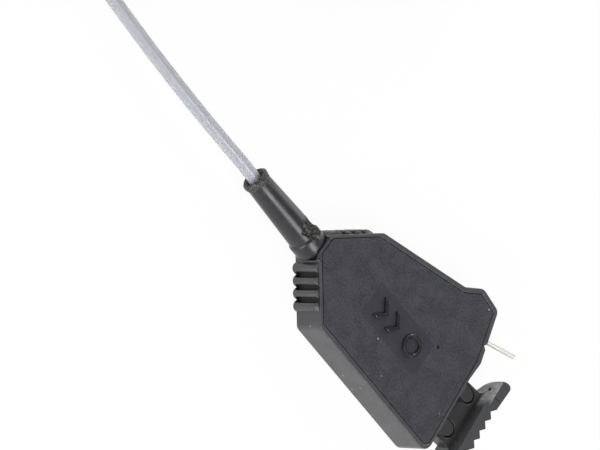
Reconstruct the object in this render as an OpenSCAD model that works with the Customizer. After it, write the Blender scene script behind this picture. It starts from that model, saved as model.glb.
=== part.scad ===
// Electric cable release: a flat camera plug with a sprung latch, a coiled cord and a hand switch.
// The plug lies on its back at z = 0 and its two contact pins point along +X.

/* [Plug housing] */
// Thickness of the plug, from its back face to its front face
plug_t = 7.6; // [7.4:0.1:9]
// Turn of the cord's axis away from the contact pins, in degrees
axis_turn = 20; // [16:1:24]
// Distance from the origin to the straight long side
side_d = 11.7; // [11.4:0.1:13]
// Distance from the origin to the flared long side
flare_d = 16.9; // [16.6:0.1:18]
// Distance from the origin to the top grip shoulder
top_shoulder_d = 22; // [21.5:0.1:23]
// Distance from the origin to the bottom grip shoulder
bottom_shoulder_d = 20.8; // [20.4:0.1:22]
// Distance from the origin to the nose where the cord enters
nose_d = 28; // [27.4:0.1:28.6]
// Distance from the origin to the contact face
contact_d = 18.5; // [18:0.1:20]
// Distance from the origin to the face that the latch comes out of
latch_face_d = 16.5; // [16:0.1:17]
// Height of the ear beside the contact face, from the origin
ear_d = 22; // [21.6:0.1:23]
// Thickness of the side walls
wall = 1.2; // [1:0.1:1.5]
// Width of the rim that frames the cover at the nose, the grips and the latch
rim_w = 0.65; // [0.5:0.05:0.9]
// Thickness of the base shell's floor
floor_t = 1.2; // [1:0.1:1.5]
// Thickness of the cover plate
cover_t = 1.4; // [1.2:0.1:1.6]
// Gap of the seam round the cover
seam = 0.12; // [0.05:0.01:0.2]

/* [Grips] */
// Number of ridges on each grip shoulder
ridges = 4; // [3:1:4]
// Distance between two ridges
ridge_pitch = 2.4; // [2:0.1:2.6]
// Radius of a ridge
ridge_r = 1.2; // [1.1:0.05:1.25]
// Height of a ridge above its shoulder
ridge_h = 0.8; // [0.5:0.05:0.9]
// Width of the slot between two ridges
slot_w = 1.05; // [0.8:0.05:1.2]

/* [Contact pins] */
// Diameter of a contact pin
pin_d = 1.1; // [0.9:0.05:1.3]
// Length of a pin outside the contact face
pin_reach = 9.2; // [7:0.1:11]
// Distance between the two pins
pin_pitch = 2.5; // [2.3:0.05:2.8]
// Lean of the row of pins away from the plug's thickness, in degrees
pin_lean = 17; // [10:1:22]
// Distance of the row's middle from the X axis
pin_y = 9.8; // [9.4:0.1:10.4]
// Length of the insulating block that holds the pins
block_len = 6.2; // [5:0.1:7]
// Width of the insulating block
block_w = 6.2; // [5.4:0.1:6.8]

/* [Latch lever] */
// Turn of the resting lever away from the cord's axis, in degrees
latch_turn = 6; // [4:0.5:7]
// Travel of the lever when its thumb bar is pushed, in degrees
latch_swing = 8; // [5:0.5:9]
// Width of the lever's arm
arm_w = 13.2; // [12:0.1:14]
// Thickness of the lever's arm
arm_t = 2.8; // [2:0.1:3]
// Distance from the pivot to the inner face of the thumb bar
bar_reach = 18.7; // [18:0.1:20]
// Thickness of the thumb bar below its ridges
bar_t = 2.05; // [1.6:0.05:2.4]
// Length of the thumb bar
bar_len = 22.4; // [20:0.1:23]
// Distance between two thumb ridges
tooth_pitch = 2.3; // [1.8:0.1:2.6]
// Height of a thumb ridge
tooth_h = 1; // [0.5:0.05:1.1]
// Diameter of the steel pivot
pivot_d = 2; // [1.6:0.1:2.4]
// Mean diameter of the latch spring
latch_spring_d = 2.3; // [2:0.1:2.6]
// Turns of the latch spring
latch_spring_turns = 3; // [2:1:3]

/* [Cord and boots] */
// Diameter of the cord
cord_d = 2.7; // [2.4:0.1:2.9]
// Length of the plug's boot from its free end to its collar's end
boot_len = 19.2; // [15:0.1:20]
// Diameter of the boot at its free end
boot_end_d = 5; // [4.6:0.1:5.4]
// Diameter of the boot's collar at the nose
boot_collar_d = 6.8; // [6.2:0.1:7]
// Diameter of one conductor inside the cord
wire_d = 0.9; // [0.7:0.05:1]

/* [Coil] */
// Radius of the coil at the middle of its turns
coil_r = 14; // [13.5:0.1:16]
// Gap between one turn and the next
coil_gap = 0.5; // [0.45:0.05:0.8]

/* [Hand switch] */
// Length of the switch housing
switch_len = 40; // [38:1:46]
// Width of the switch housing
switch_w = 14; // [13.6:0.2:16]
// Height of the switch housing
switch_h = 13; // [12.6:0.2:14]
// Thickness of the switch walls
switch_wall = 1.2; // [1:0.1:1.4]
// Diameter of the release button
button_d = 8; // [7.6:0.1:8.4]
// Height of the button above the housing
button_rise = 2; // [1.8:0.1:2.6]
// Travel of the release button
button_travel = 1.5; // [1:0.1:1.6]
// Wire of the button's spring
button_spring_wire = 0.5; // [0.4:0.05:0.6]
// Turns of the button's spring
button_spring_turns = 4; // [3:1:4]

/* [Fasteners and fits] */
// Diameter of a housing screw
screw_d = 1.6; // [1.4:0.1:1.8]
// Diameter of a screw's head
screw_head_d = 3; // [2.6:0.1:3.2]
// Height of a screw's head
screw_head_h = 1.1; // [0.9:0.1:1.2]
// Radial clearance of a running fit
run_fit = 0.05; // [0.03:0.01:0.08]
// Gap kept between parts that move past each other
move_gap = 0.25; // [0.2:0.05:0.35]

/* [Hidden] */
$fn = 48;

// Cuts run this far past the faces that they open
past = 1;

// Colours
shell_black = [0.13, 0.13, 0.14];
gloss_black = [0.07, 0.07, 0.08];
cord_grey = [0.74, 0.75, 0.78];
steel = [0.75, 0.75, 0.77];
tin = [0.9, 0.88, 0.82];
brass = [0.8, 0.65, 0.3];

// Plug housing: levels and outline
axis_z = plug_t / 2;
seat_z = plug_t - cover_t;
// Steps between neighbouring sides, the ear's turns and the corner radii
heel_step = 0.55;
ear_drop = 9.5;
ear_turn = 63;
ear_slope = 129;
flare_slope = 106;
shoulder_slope = 135;
soft_corner = 2;
mid_corner = 1.5;
tight_corner = 0.8;
// Rim on the other sides, which leaves a narrow ledge under the cover
ledge_w = 0.15;
wide_rim = wall - ledge_w;
// Each side of the outline: the angle of its outward normal, its distance, its corner radius and its rim
plug_sides = [
    [-90, side_d, mid_corner, wide_rim],
    [latch_turn, latch_face_d, soft_corner, rim_w],
    [0, latch_face_d - heel_step, mid_corner, wide_rim],
    [axis_turn, contact_d, mid_corner, wide_rim],
    [axis_turn + ear_turn, ear_d, mid_corner, wide_rim],
    [ear_slope, ear_d - ear_drop, soft_corner, wide_rim],
    [flare_slope, flare_d, soft_corner, wide_rim],
    [shoulder_slope, top_shoulder_d, mid_corner, rim_w],
    [180, nose_d, tight_corner, rim_w],
    [360 - shoulder_slope, bottom_shoulder_d, tight_corner, rim_w]];
// Notch in the contact face, and the gate mark on the cover along and across the cord's axis
notch_y = 7.7;
notch_w = 0.8;
gate_at = [5.8, 5.3];
gate_r = 0.35;
// Grip ridges: how far they start from the corner of the nose, along their shoulder, and their front ends
ridge_inset = 1.9;
ridge_start = (nose_d + top_shoulder_d * cos(shoulder_slope)) / sin(shoulder_slope) - ridge_inset;
ridge_top = plug_t - 0.2;
ridge_lead = 0.1;
ridge_end_slope = 45;
// Levels and depth of the slots between the ridges
slot_low = 0.4;
slot_high = plug_t - 0.3;
slot_sink = rim_w - 0.2;

// Cord entry: the solid block behind the nose, the boot's neck and the sunk ring round its collar's end
nose_block = 4.2;
neck_r = 2.3;
nose_in = nose_d - nose_block;
ring_r = boot_collar_d / 2 + 2 * run_fit;
ring_depth = 1.1;
boot_sink = 0.5;
boot_face = nose_d - boot_sink;
groove_t = 0.2;

// Housing screws: places along and across the cord's axis, and levels
screw_at = [[-15.5, -6.5], [-14, 9], [5.2, -8.2]];
boss_r = screw_head_d / 2 + 0.7;
boss_top = floor_t + 1.8;
head_z = screw_head_h + 0.2;
post_r = screw_d / 2 + 1.1;
screw_grip = 2.6;

// Latch lever: pivot place along and across the cord's axis, levels and proportions
pivot_at = [4, -1.2];
arm_z = floor_t + 1.2;
hub_wall = 2.1;
hub_r = pivot_d / 2 + hub_wall;
pivot_sink = 0.6;
arm_full_at = 9;
bar_z = 0.3;
bar_fillet = 1.2;
bar_end_r = 0.8;
// Hook nose: where it starts along the bar, its swell, its corners, its bevel and its sloping underside
nose_start = 5.4;
nose_swell = 0.55;
nose_r = 0.9;
hook_r = 2.4;
hook_bevel = 1.05;
hook_bevel_h = 2;
hook_low = arm_w / 2 + bar_fillet;
// Dimple on the hook's inner face and nick on its front face: place along the bar, level and size
dimple_at = [8.3, 6.15];
dimple_r = 0.35;
nick_at = [19.9, 6.9];
nick_w = 0.3;
nick_len = 1.2;
// Lugs over the arm: places along the latch face, size, and the pockets that they stand over
lug_at = [1.7, -6.4];
lug_w = 2.8;
lug_len = 2.8;
pocket_shift = [1.65, 1.1];
pocket_gap = 0.35;
pocket_t = 1.4;
spring_at = 7;
spring_seat_w = 3;
spring_seat = hub_r + (arm_w / 2 - hub_r) * (spring_at + spring_seat_w / 2) / arm_full_at + 0.1;
spring_wire = 0.3;

// Contact pins
block_z = seat_z - floor_t;
block_x = contact_d - wall - block_len;
pin_root_w = pin_d + 0.3;
pin_stop_len = 1;
pin_stop_w = pin_root_w + 0.5;
pin_tail_len = 2.2;
pin_tail_w = 0.8;

// Boot and cord inside the plug
lip_len = 0.9;
collar_len = 3.5;
collar_step = 0.35;
lip_swell = 0.3;
flange_len = 1.5;
bore_r = cord_d / 2 + run_fit;
ferrule_len = 3;
ferrule_wall = 0.5;
flange_in = nose_in - run_fit;
flange_half = (min(top_shoulder_d, bottom_shoulder_d) - wall) * sqrt(2) - flange_in - move_gap;
cord_end_x = -(flange_in - flange_len - ferrule_len);
// Flex slot before the collar: its depth below the collar, its length, its gap and its turn
flex_depth = 1.1;
flex_len = 3;
flex_gap = 0.2;
flex_turn = 68;

// Coil and tie
all_turns = 5.6;
climb_turns = 0.5;
coil_step = cord_d + coil_gap;
layer_rise = cord_d + coil_gap + 0.1;
rings_per_turn = 24;
tie_t = 0.4;
tie_w = 4;
tie_at = 150;
tie_fit = 0.05;
coil_z = cord_d / 2 + tie_t + tie_fit;

// Hand switch: the bend of the cord that leads to it, and levels
tail_bend_r = 12;
tail_bend = 80;
tail_straight = 4;
switch_boot_len = 8;
split_z = switch_h / 2;
button_inset = 11;
button_x = switch_len - button_inset;
flange_t = 1;
flange_r = button_d / 2 + 0.9;
roof_z = switch_h - switch_wall;
stem_r = 1.5;
bridge_t = 0.3;
strip_t = 0.45;
strip_w = 2;
strip_off = 1.4;
strip_tail = 3;
block_base = 4;
seat_rim = 1.5;
ring_in = 3.25;
ring_out = 4.7;
button_spring_r = (ring_in + ring_out) / 2;
strip_top = block_base + strip_t;
bridge_z = strip_top + button_travel + 0.05;
flange_z = roof_z - flange_t - 0.1;
switch_screw_at = [[9, -3.6], [9, 3.6]];
switch_sides = [
    [-90, switch_w / 2, 3],
    [0, switch_len, 5.5],
    [90, switch_w / 2, 5.5],
    [180, 0, 3]];

// Route of the cord from the boot's mouth: distance, offset to its right, share of the way down
lead_route = [[4, 0.1, 0], [9, 0.1, 0.05], [15, 0.15, 0.15], [21, 0.4, 0.3], [27, 0.7, 0.45],
    [33, 1.1, 0.6], [39, 1.6, 0.75], [45, 2.1, 0.87], [50, 2.6, 0.95], [55, 3.1, 1]];
// Where the cord reaches its coil, and its turn to the right there, in degrees
coil_entry = [59, 3.6, 1];
coil_entry_turn = 7;
// Routes of the conductors, along and across each housing's own axis
red_route = [[-14, 2.4, 4.3], [-7, 6.4, 4.9], [-1, 10.2, 5]];
white_route = [[-14, 1.2, 3.3], [-7, 5.4, 2.8], [-1, 10, 2.6]];
switch_red_route = [[9, 1, 6.2], [14, 1.4, 5]];
switch_white_route = [[9, -1, 6.2], [14, -1.4, 5]];

// Plane geometry

function unit(v) = v / norm(v);
function heading(a) = [cos(a), sin(a)];

// Point where two sides meet, each given by the angle of its normal and its distance
function meet(p, q) =
    let (s = sin(q[0] - p[0]))
    [(p[1] * sin(q[0]) - q[1] * sin(p[0])) / s, (q[1] * cos(p[0]) - p[1] * cos(q[0])) / s];

// Arc that rounds the corner at b
function fillet(a, b, c, r, steps) =
    let (u = unit(a - b), v = unit(c - b), half = acos(u * v) / 2,
        middle = b + unit(u + v) * r / sin(half),
        from = b + u * r / tan(half) - middle,
        to = b + v * r / tan(half) - middle,
        first = atan2(from[1], from[0]),
        sweep = ((atan2(to[1], to[0]) - first + 540) % 360) - 180)
    [for (i = [0:steps]) middle + r * heading(first + sweep * i / steps)];

// Outline of a list of sides, moved inwards, behind their rims or not, with its corners rounded
function outline(sides, inset = 0, behind_rim = false) =
    let (n = len(sides),
        depth = [for (s = sides) behind_rim ? inset + s[3] : inset],
        moved = [for (i = [0:n - 1]) [sides[i][0], sides[i][1] - depth[i]]],
        at = [for (i = [0:n - 1]) meet(moved[(i + n - 1) % n], moved[i])])
    [for (i = [0:n - 1])
        let (turn = sin(sides[i][0] - sides[(i + n - 1) % n][0]),
            r = turn > 0 ? max(sides[i][2] - depth[i], 0.3) : sides[i][2] + depth[i])
        each fillet(at[(i + n - 1) % n], at[i], at[(i + 1) % n], r, 6)];

// Point of a housing's own axes, turned and moved into the plug's frame
function turned(p, a, at) =
    [at[0] + p[0] * cos(a) - p[1] * sin(a), at[1] + p[0] * sin(a) + p[1] * cos(a), p[2]];
function on_plug(p) = turned(p, -axis_turn, [0, 0]);

// Tubes swept along points

function direction(points, i) =
    unit(points[min(i + 1, len(points) - 1)] - points[max(i - 1, 0)]);

// Ring of a tube, square to its run, with one side kept level
function ring(centre, run, r, sides) =
    let (level = unit(cross([0, 0, 1], run)), rise = cross(run, level))
    [for (k = [0:sides - 1])
        centre + r * (cos(360 * (k + 0.5) / sides) * level + sin(360 * (k + 0.5) / sides) * rise)];

// Tube through points; its ends may be given their own directions
module tube(points, r, sides = 8, first = undef, last = undef) {
    n = len(points);
    runs = [for (i = [0:n - 1])
        i == 0 && first != undef ? unit(first) :
        i == n - 1 && last != undef ? unit(last) : direction(points, i)];
    rings = [for (i = [0:n - 1]) each ring(points[i], runs[i], r, sides)];
    start = [for (k = [1:sides - 2]) [0, k, k + 1]];
    end = [for (k = [1:sides - 2]) [(n - 1) * sides, (n - 1) * sides + k + 1, (n - 1) * sides + k]];
    skin = [for (i = [0:n - 2], k = [0:sides - 1])
        let (a = i * sides + k, b = i * sides + (k + 1) % sides)
        each [[a, a + sides, b], [b, a + sides, b + sides]]];
    polyhedron(rings, concat(start, skin, end));
}

// Cord: the run out of the boot, the coil and the run to the switch

boot_mouth = on_plug([-boot_face - boot_len, 0, axis_z]);
function on_lead(p) =
    on_plug([-boot_face - boot_len - p[0], p[1], axis_z + (coil_z - axis_z) * p[2]]);
lead_end = on_lead(coil_entry);
lead_heading = 180 - axis_turn - coil_entry_turn;

// The coil lies to the right of the cord's run and turns clockwise
coil_wide = coil_r + coil_step * all_turns / 4;
coil_at = [lead_end[0], lead_end[1]] + coil_wide * heading(lead_heading - 90);
// Radius and height after a number of turns: in, over the climb and out again at a steady rate
function coil_radius(t) = coil_wide - coil_step * (all_turns / 2 - abs(t - all_turns / 2));
function coil_height(t) =
    let (s = min(max((t - all_turns / 2) / climb_turns + 0.5, 0), 1))
    coil_z + layer_rise * s * s * (3 - 2 * s);
function coil_point(t) =
    let (at = coil_at + coil_radius(t) * heading(lead_heading + 90 - 360 * t))
    [at[0], at[1], coil_height(t)];
coil_rings = ceil(all_turns * rings_per_turn);
coil_points = [for (i = [0:coil_rings]) coil_point(all_turns * i / coil_rings)];
// Its ends run straight for one diameter
coil_in = unit(coil_points[1] - coil_points[0]);
coil_out = unit(coil_points[coil_rings] - coil_points[coil_rings - 1]);
coil_first = coil_points[0] - cord_d * coil_in;
coil_last = coil_points[coil_rings] + cord_d * coil_out;
coil_line = concat([coil_first], coil_points, [coil_last]);

// The cord leaves the coil, bends to its left and runs into the switch's boot
exit_heading = atan2(coil_out[1], coil_out[0]);
switch_heading = exit_heading + tail_bend;
function tail_point(a) =
    let (rise = (split_z - coil_last[2]) * a / tail_bend)
    turned([tail_bend_r * sin(a), tail_bend_r * (1 - cos(a)), coil_last[2] + rise],
        exit_heading, coil_last);
switch_at = tail_point(tail_bend) + tail_straight * concat(heading(switch_heading), 0);
function on_switch(p) = turned(p, switch_heading, switch_at);

// Least gap between turns of a tube, on points that are some way apart along it
function least_gap(points, d, apart) =
    min([for (i = [0:len(points) - 1], j = [0:len(points) - 1])
        if (j >= i + apart) norm(points[i] - points[j])]) - d;

// Spring: a helix along z between two flat seats
function spring_points(r, wire, height, turns, rings) =
    [for (i = [0:turns * rings])
        let (t = i / rings)
        [r * cos(360 * t), r * sin(360 * t), wire / 2 + (height - wire) * t / turns]];
spring_rings = 12;

function run_length(points) =
    len(points) < 2 ? 0 : sum([for (i = [1:len(points) - 1]) norm(points[i] - points[i - 1])]);
function sum(list, i = 0) = i < len(list) ? list[i] + sum(list, i + 1) : 0;

// Frames

module plug_axis() {
    rotate([0, 0, -axis_turn])
        children();
}

module at_latch(swing = 0) {
    plug_axis()
        translate([pivot_at[0], pivot_at[1], 0])
            rotate([0, 0, latch_turn - swing])
                children();
}

module on_latch_face() {
    plug_axis()
        rotate([0, 0, latch_turn])
            translate([latch_face_d, 0, 0])
                children();
}

module at_switch() {
    translate([switch_at[0], switch_at[1], 0])
        rotate([0, 0, switch_heading])
            children();
}

// Slab of a plug outline between two levels
module plug_slab(inset, low, high, behind_rim = false) {
    plug_axis()
        translate([0, 0, low])
            linear_extrude(high - low)
                polygon(outline(plug_sides, inset, behind_rim));
}

module switch_slab(inset, low, high) {
    translate([0, 0, low])
        linear_extrude(high - low)
            polygon(outline(switch_sides, inset));
}

// Cylinder along the local x axis
module rod(from, to, r) {
    translate([from, 0, axis_z])
        rotate([0, 90, 0])
            cylinder(h = to - from, r = r);
}

// Plug housing

// Ridges of one shoulder with their sloping front ends, given its normal, its distance and their way
module shoulder_ridges(normal, distance, way) {
    rotate([0, 0, normal])
        difference() {
            for (i = [0:ridges - 1])
                translate([distance - ridge_r + ridge_h, way * (ridge_start - i * ridge_pitch), 0])
                    cylinder(h = ridge_top, r = ridge_r);
            translate([distance + ridge_lead, -2 * ridge_start, ridge_top])
                rotate([0, ridge_end_slope, 0])
                    cube([plug_t, 4 * ridge_start, plug_t]);
        }
}

// Round-ended slots between the ridges of one shoulder
module shoulder_slots(normal, distance, way) {
    for (i = [0:ridges - 2])
        rotate([0, 0, normal])
            translate([distance - slot_sink, way * (ridge_start - (i + 0.5) * ridge_pitch), 0])
                rotate([0, 90, 0])
                    linear_extrude(slot_sink + ridge_h + past) {
                        translate([-slot_high + slot_w / 2, -slot_w / 2])
                            square([slot_high - slot_low - slot_w, slot_w]);
                        for (level = [slot_low + slot_w / 2, slot_high - slot_w / 2])
                            translate([-level, 0])
                                circle(d = slot_w);
                    }
}

// Neck hole and sunk ring of the cord's entry
module cord_entry() {
    rod(-nose_d - past, -nose_in + past, neck_r);
    rod(-nose_d - past, -nose_d + ring_depth, ring_r);
}

// Sunk space round one screw: the shank's hole and the head's seat
module screw_cut(at) {
    translate([at[0], at[1], -past])
        cylinder(h = past + head_z, r = screw_head_d / 2 + run_fit);
    translate([at[0], at[1], -past])
        cylinder(h = past + boss_top + past, r = screw_d / 2 + 2 * run_fit);
}

module screw_shape(at, grip) {
    translate([at[0], at[1], head_z - screw_head_h])
        cylinder(h = screw_head_h, r = screw_head_d / 2);
    translate([at[0], at[1], head_z])
        cylinder(h = boss_top - head_z + grip, r = screw_d / 2);
}

// Round-ended tongue that reaches out along x
module tongue(reach, w, h) {
    translate([-wall / 2, -w / 2, 0])
        cube([wall / 2 + reach - w / 2, w, h]);
    translate([reach - w / 2, 0, 0])
        cylinder(h = h, r = w / 2);
}

// Lugs on the latch face that run over the lever's arm
module latch_lugs() {
    for (place = lug_at)
        on_latch_face()
            translate([0, place, arm_z + arm_t + move_gap])
                tongue(lug_len, lug_w, plug_t - arm_z - arm_t - move_gap);
}

// Pockets in the resting arm below the lugs
module lug_pockets() {
    for (place = lug_at)
        on_latch_face()
            translate([pocket_shift[0], place + pocket_shift[1], arm_z + arm_t - pocket_t])
                tongue(lug_len + pocket_gap, lug_w + 2 * pocket_gap, pocket_t + past);
}

// Slot that the lever swings in, through the latch face
module latch_slot() {
    for (swing = [0, latch_swing])
        at_latch(swing)
            translate([arm_full_at, -arm_w / 2 - move_gap, arm_z - move_gap])
                cube([latch_face_d - pivot_at[0] - arm_full_at + 2 * wall, arm_w + 2 * move_gap,
                    arm_t + 2 * move_gap]);
}

module pin_place(row) {
    translate([0, pin_y, axis_z])
        rotate([pin_lean, 0, 0])
            translate([0, 0, row * pin_pitch / 2])
                rotate([0, 90, 0])
                    children();
}

module plug_base() {
    color(shell_black)
    difference() {
        union() {
            difference() {
                union() {
                    plug_slab(0, 0, plug_t);
                    plug_axis() {
                        shoulder_ridges(shoulder_slope, top_shoulder_d, 1);
                        shoulder_ridges(-shoulder_slope, bottom_shoulder_d, -1);
                    }
                }
                intersection() {
                    plug_slab(wall, floor_t, plug_t + past);
                    plug_axis()
                        translate([-nose_in, -2 * flare_d, 0])
                            cube([4 * nose_d, 4 * flare_d, 2 * plug_t]);
                }
                plug_slab(0, seat_z, plug_t + past, true);
            }
            plug_axis()
                for (at = screw_at)
                    translate([at[0], at[1], 0])
                        cylinder(h = boss_top, r = boss_r);
            at_latch()
                cylinder(h = arm_z - run_fit, r = hub_r);
            latch_lugs();
        }
        plug_axis() {
            cord_entry();
            translate([-nose_d - past, -neck_r, axis_z])
                cube([nose_block + 2 * past, 2 * neck_r, plug_t]);
            shoulder_slots(shoulder_slope, top_shoulder_d, 1);
            shoulder_slots(-shoulder_slope, bottom_shoulder_d, -1);
            for (at = screw_at)
                screw_cut(at);
        }
        at_latch()
            translate([0, 0, floor_t - pivot_sink])
                cylinder(h = plug_t, r = pivot_d / 2);
        latch_slot();
        for (row = [-1, 1])
            pin_place(row)
                pin_bar(contact_d - 2 * wall, contact_d + past, pin_root_w + 2 * run_fit);
        translate([contact_d, notch_y, -past])
            rotate([0, 0, 45])
                translate([-notch_w / 2, -notch_w / 2, 0])
                    cube([notch_w, notch_w, plug_t + 2 * past]);
    }
}

module plug_cover() {
    color(shell_black)
    difference() {
        union() {
            plug_slab(seam, seat_z, plug_t, true);
            intersection() {
                plug_axis()
                    translate([-nose_d, seam - neck_r, axis_z])
                        cube([nose_block, 2 * (neck_r - seam), plug_t]);
                plug_slab(0, 0, plug_t);
            }
            plug_axis()
                for (at = screw_at)
                    translate([at[0], at[1], boss_top])
                        cylinder(h = seat_z - boss_top + cover_t / 2, r = post_r);
        }
        difference() {
            plug_slab(0, plug_t - groove_t, plug_t + past, true);
            plug_slab(seam, 0, plug_t + 2 * past, true);
        }
        plug_axis() {
            cord_entry();
            for (at = screw_at)
                translate([at[0], at[1], boss_top - past])
                    cylinder(h = past + screw_grip, r = screw_d / 2);
            translate([gate_at[0], gate_at[1], plug_t - gate_r])
                cylinder(h = past, r = gate_r);
        }
        at_latch()
            translate([0, 0, seat_z - past])
                cylinder(h = past + pivot_sink, r = pivot_d / 2 + run_fit);
    }
}

module plug_screws() {
    color(steel)
    plug_axis()
        for (at = screw_at)
            screw_shape(at, screw_grip);
}

// Cord boot and ferrule

module cord_boot() {
    end_r = boot_end_d / 2;
    collar_r = boot_collar_d / 2;
    color(gloss_black)
    plug_axis()
    difference() {
        union() {
            translate([-boot_face - boot_len, 0, axis_z])
                rotate([0, 90, 0])
                    rotate_extrude()
                        polygon([[0, 0], [end_r + lip_swell / 2, 0], [end_r + lip_swell, lip_len / 2],
                            [end_r, lip_len], [end_r, lip_len + lip_swell],
                            [collar_r - collar_step, boot_len - collar_len],
                            [collar_r, boot_len - collar_len + collar_step],
                            [collar_r, boot_len], [0, boot_len]]);
            rod(-boot_face - past / 2, -flange_in + flange_len / 2, neck_r - run_fit);
            translate([-flange_in, -flange_half, floor_t])
                cube([flange_len, 2 * flange_half, seat_z - floor_t]);
        }
        rod(-boot_face - boot_len - past, -flange_in + flange_len + past, bore_r);
        translate([-boot_face - collar_len - flex_gap - flex_len, 0, axis_z])
            rotate([flex_turn, 0, 0])
                translate([0, collar_r - flex_depth, -boot_collar_d])
                    cube([flex_len, boot_collar_d, 2 * boot_collar_d]);
    }
}

module cord_ferrule() {
    color(tin)
    plug_axis()
    difference() {
        rod(-flange_in + flange_len, cord_end_x, cord_d / 2 + ferrule_wall);
        rod(-flange_in + flange_len - past, cord_end_x + past, cord_d / 2);
    }
}

// Contacts

// Square bar along a pin, between two distances from the origin
module pin_bar(from, to, w) {
    translate([-w / 2, -w / 2, from])
        cube([w, w, to - from]);
}

module pin_block() {
    color([0.85, 0.83, 0.76])
    difference() {
        translate([block_x, pin_y - block_w / 2, floor_t])
            cube([block_len, block_w, block_z]);
        for (row = [-1, 1])
            pin_place(row)
                pin_bar(block_x - past, contact_d, pin_root_w);
    }
}

// A round pin on a square root, with a stop behind the block and a tail for its conductor
module contact_pin(row) {
    color(tin)
    pin_place(row) {
        translate([0, 0, contact_d])
            cylinder(h = pin_reach, r = pin_d / 2);
        pin_bar(block_x, contact_d, pin_root_w);
        pin_bar(block_x - pin_stop_len, block_x, pin_stop_w);
        pin_bar(block_x - pin_stop_len - pin_tail_len, block_x - pin_stop_len, pin_tail_w);
    }
}

module contact_pin_front() {
    contact_pin(1);
}

module contact_pin_rear() {
    contact_pin(-1);
}

// End of a pin's tail, where its conductor is soldered on
function tail_end(row) =
    [block_x - pin_stop_len - pin_tail_len, pin_y - row * sin(pin_lean) * pin_pitch / 2,
        axis_z + row * cos(pin_lean) * pin_pitch / 2];

module plug_wire(route, row) {
    start = on_plug([cord_end_x, row * wire_d * 0.6, axis_z]);
    end = tail_end(row);
    tube(concat([start], [for (p = route) on_plug(p)], [end - [wire_d, 0, 0], end]),
        wire_d / 2, 6, on_plug([1, 0, 0]), [1, 0, 0]);
}

module plug_wire_red() {
    color("firebrick")
        plug_wire(red_route, 1);
}

module plug_wire_white() {
    color("ivory")
        plug_wire(white_route, -1);
}

// Latch

// Lever's arm in plan: a hub that widens to the full width and flares into the thumb bar
module arm_plan() {
    half = arm_w / 2;
    upper = fillet([arm_full_at, half], [bar_reach, half], [bar_reach, bar_len], bar_fillet, 5);
    lower = fillet([bar_reach, -bar_len], [bar_reach, -half], [arm_full_at, -half], bar_fillet, 5);
    polygon(concat([[0, -hub_r], [arm_full_at, -half]],
        [for (i = [len(lower) - 1:-1:0]) lower[i]],
        [[bar_reach + bar_t / 2, -half - bar_fillet], [bar_reach + bar_t / 2, half + bar_fillet]],
        [for (i = [len(upper) - 1:-1:0]) upper[i]],
        [[arm_full_at, half], [0, hub_r]]));
}

// Thumb bar in plan: a straight back, a row of ridges and a hook nose with a round end
module bar_plan() {
    half = bar_len / 2;
    outer = bar_reach + bar_t;
    crest = outer + tooth_h;
    nose_u = crest + nose_swell;
    teeth = floor((half + nose_start) / tooth_pitch);
    polygon(concat([[bar_reach, -half + bar_end_r], [bar_reach + bar_end_r, -half], [outer, -half]],
        [for (i = [teeth - 1:-1:0]) each
            let (at = nose_start - i * tooth_pitch)
            [[outer, at - tooth_pitch / 2], [crest, at]]],
        fillet([crest, nose_start], [nose_u, half], [bar_reach, half], nose_r, 4),
        fillet([nose_u, half], [bar_reach, half], [bar_reach, 0], hook_r, 6)));
}

// What the hook nose loses: its inner bevel, its sloping underside, its dimple and its nick
module hook_cuts() {
    half = bar_len / 2;
    translate([bar_reach, half + past, plug_t - hook_bevel_h])
        rotate([90, 0, 0])
            linear_extrude(half + past - nose_start)
                polygon([[-past, 0], [0, 0], [hook_bevel, hook_bevel_h], [hook_bevel, plug_t],
                    [-past, plug_t]]);
    translate([bar_reach - past, hook_low, arm_z])
        rotate([90, 0, 90])
            linear_extrude(bar_t + tooth_h + nose_swell + 2 * past)
                polygon([[0, -arm_z], [half, -arm_z], [half, half], [0, 0]]);
    translate([bar_reach - past, dimple_at[0], dimple_at[1]])
        rotate([0, 90, 0])
            cylinder(h = past + dimple_r, r = dimple_r);
    translate([nick_at[0], nick_at[1], plug_t - nick_w])
        cube([nick_len, nick_w, past]);
}

module latch_lever() {
    color(gloss_black)
    difference() {
        at_latch() {
            translate([0, 0, arm_z]) {
                linear_extrude(arm_t)
                    arm_plan();
                cylinder(h = seat_z - arm_z - move_gap / 2, r = hub_r);
                translate([spring_at - spring_seat_w / 2, -spring_seat, 0])
                    cube([spring_seat_w, spring_seat, arm_t]);
            }
            translate([0, 0, bar_z])
                linear_extrude(plug_t - bar_z)
                    bar_plan();
        }
        at_latch() {
            translate([0, 0, -past])
                cylinder(h = plug_t + 2 * past, r = pivot_d / 2 + run_fit);
            hook_cuts();
        }
        lug_pockets();
    }
}

module latch_pivot() {
    color(steel)
    at_latch()
        translate([0, 0, floor_t - pivot_sink])
            cylinder(h = seat_z - floor_t + 2 * pivot_sink - move_gap / 2, r = pivot_d / 2);
}

// Place of the spring's fixed end on the straight side's inner face, along the cord's axis
spring_x = pivot_at[0] + spring_at * cos(latch_turn) + spring_seat * sin(latch_turn);
spring_top = pivot_at[1] + spring_at * sin(latch_turn) - spring_seat * cos(latch_turn);
spring_low = -side_d + wall;
spring_slope = tan(latch_turn) * (latch_spring_d + spring_wire) / 2;
latch_spring_line = spring_points(latch_spring_d / 2, spring_wire,
    spring_top - spring_low - spring_slope, latch_spring_turns, spring_rings);

module latch_spring() {
    color(steel)
    plug_axis()
        translate([spring_x, spring_low, arm_z + arm_t / 2])
            rotate([-90, 0, 0])
                tube(latch_spring_line, spring_wire / 2, 6);
}

// Cord

lead_line = concat([on_plug([cord_end_x, 0, axis_z]), boot_mouth],
    [for (p = lead_route) on_lead(p)], [coil_first]);

module cord_lead() {
    color(cord_grey)
        tube(lead_line, cord_d / 2, 8, on_plug([-1, 0, 0]), coil_in);
}

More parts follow.
